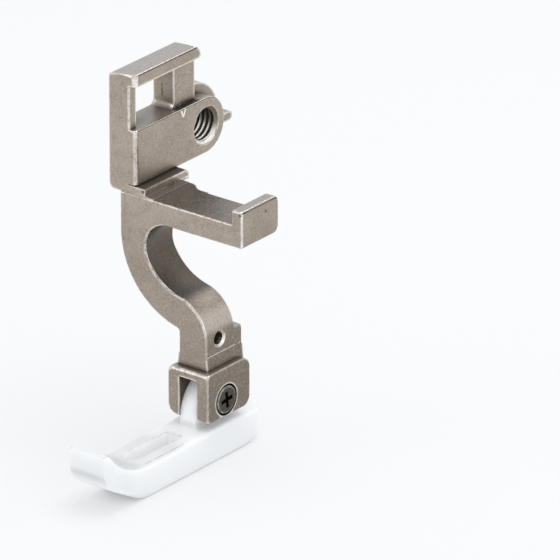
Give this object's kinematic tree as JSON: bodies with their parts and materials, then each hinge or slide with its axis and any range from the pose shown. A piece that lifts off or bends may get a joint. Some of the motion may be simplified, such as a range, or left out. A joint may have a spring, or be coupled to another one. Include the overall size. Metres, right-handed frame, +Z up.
{
  "type": "sewing machine presser foot",
  "caption": "Presser foot: a cast steel shank with a window block, threaded boss, curved neck and side ledge, carrying a white sole that tilts on a pivot screw.",
  "frame": {"origin": "on the underside of the sole, straight below the pivot screw", "axes": "+Z up along the shank, -Y from the pivot towards the toe and the operator, +X towards the side ledge"},
  "size_m": [0.0194, 0.0393, 0.045],
  "materials": {
    "cast_steel": "satin nickel over a fine sandy casting grain, bright on worn edges",
    "white_plastic": "smooth white low-friction plastic",
    "screw_steel": "darker turned steel with a bright rim"
  },
  "bodies": {
    "shank": {"shank": "cast_steel", "pivot_screw": "screw_steel"},
    "sole": {"sole": "white_plastic"}
  },
  "joints": [
    {"name": "sole_pivot", "type": "hinge", "parent": "shank", "child": "sole", "pos_m": [0, 0, 0.00717], "axis": [1, 0, 0], "range_deg": [-15, 15]}
  ]
}
